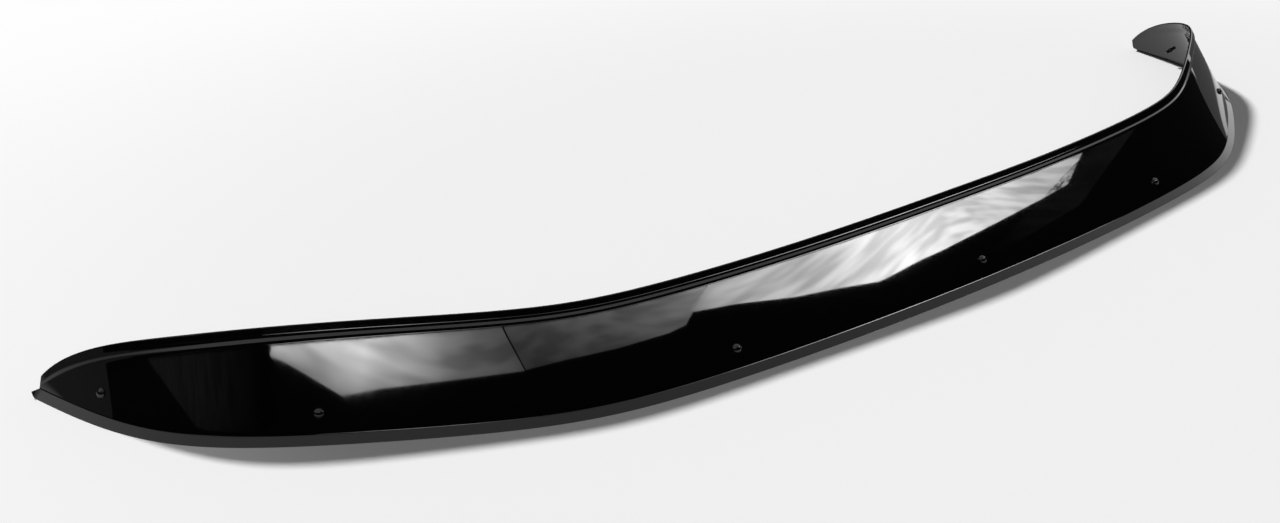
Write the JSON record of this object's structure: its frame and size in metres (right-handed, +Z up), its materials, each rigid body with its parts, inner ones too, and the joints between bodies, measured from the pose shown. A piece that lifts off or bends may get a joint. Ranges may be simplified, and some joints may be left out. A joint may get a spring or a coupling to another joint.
{
  "type": "hood bug deflector",
  "caption": "Long bowed hood bug deflector of glossy black acrylic, with a narrow flange, a sloping face, a stepped rim lip and a row of domed push-in studs.",
  "frame": {"origin": "middle of the width and of the depth, at the height of the bottom edge", "axes": "+X across the car, +Y to the rear, +Z up; the closed front of the bow faces -Y"},
  "size_m": [1.5108, 0.3628, 0.0755],
  "materials": {
    "gloss_black_acrylic": "polished",
    "gloss_black_stud": "glossy"
  },
  "bodies": {
    "root": {"shield": "gloss_black_acrylic", "dome_studs": "gloss_black_stud"}
  },
  "joints": []
}
